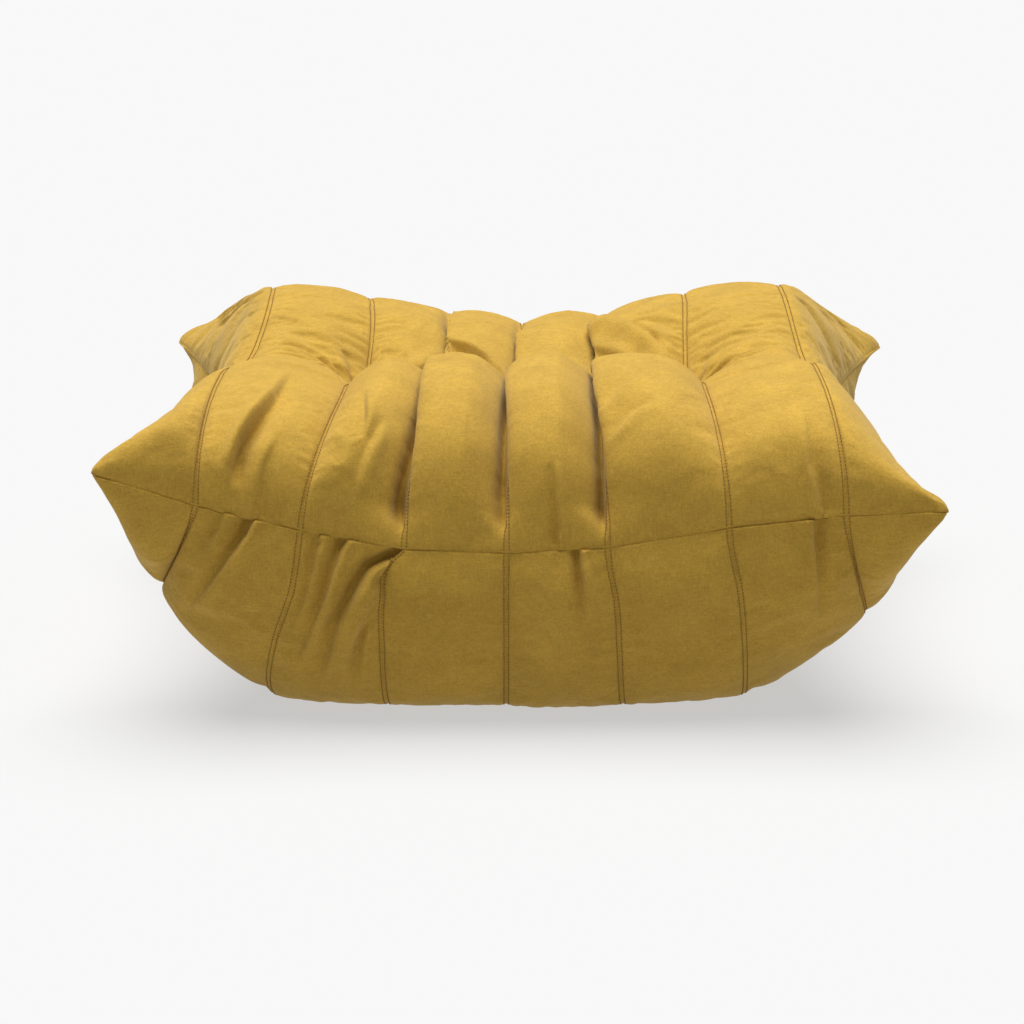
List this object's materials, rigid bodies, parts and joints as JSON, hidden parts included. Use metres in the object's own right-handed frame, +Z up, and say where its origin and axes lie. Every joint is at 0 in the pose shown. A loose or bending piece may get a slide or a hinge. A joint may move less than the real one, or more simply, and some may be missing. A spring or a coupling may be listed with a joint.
{
  "type": "floor cushion",
  "caption": "Low, broad floor cushion with a channel-quilted suede cover, pointed corners, two humps either side of a tufted valley, a foam core and a zipped base.",
  "frame": {"origin": "on the floor, under the middle of the cushion's bounding box", "axes": "+X to the right along the longest side, -Y towards the front, +Z up. The strips run front to back, along Y"},
  "size_m": [0.87, 0.8, 0.3609],
  "materials": {
    "suede": "matte",
    "base_cloth": "matte",
    "zip_tape": "matte",
    "zip_coil": "satin",
    "zip_metal": "satin",
    "foam": "matte",
    "fibre": "matte",
    "tape_loop": "matte",
    "twine": "matte",
    "felt": "matte"
  },
  "bodies": {
    "root": {"upper_strip_1": "suede", "upper_strip_2": "suede", "upper_strip_3": "suede", "upper_strip_4": "suede", "upper_strip_5": "suede", "upper_strip_6": "suede", "upper_strip_7": "suede", "upper_strip_8": "suede", "lower_strip_1": "suede", "lower_strip_2": "suede", "lower_strip_7": "suede", "lower_strip_8": "suede", "lower_front_strip_3": "suede", "lower_front_strip_4": "suede", "lower_front_strip_5": "suede", "lower_front_strip_6": "suede", "lower_rear_strip_3": "suede", "lower_rear_strip_4": "suede", "lower_rear_strip_5": "suede", "lower_rear_strip_6": "suede", "base_cloth_front": "base_cloth", "base_cloth_rear": "base_cloth", "zip_tape_front": "zip_tape", "zip_tape_rear": "zip_tape", "zip_coil_front": "zip_coil", "zip_coil_rear": "zip_coil", "zip_bottom_stop": "zip_metal", "zip_top_stop": "zip_metal", "foam_base_slab": "foam", "foam_middle_slab": "foam", "foam_front_roll": "foam", "foam_rear_roll": "foam", "corner_fill_front_left": "fibre", "corner_fill_front_right": "fibre", "corner_fill_rear_left": "fibre", "corner_fill_rear_right": "fibre", "seam_loops": "tape_loop", "tuft_twines": "twine", "tuft_anchor_discs": "felt"},
    "slider": {"zip_slider": "zip_metal"},
    "pull_tab": {"zip_pull_tab": "zip_metal"}
  },
  "joints": [
    {"name": "zip_slide", "type": "slide", "parent": "root", "child": "slider", "axis": [-1, 0, 0], "range_m": [0, 0.4]},
    {"name": "pull_tab_hinge", "type": "hinge", "parent": "slider", "child": "pull_tab", "pos_m": [0.203, 0.15, 0.0082], "axis": [0, -1, 0], "range_deg": [0, 165]}
  ]
}
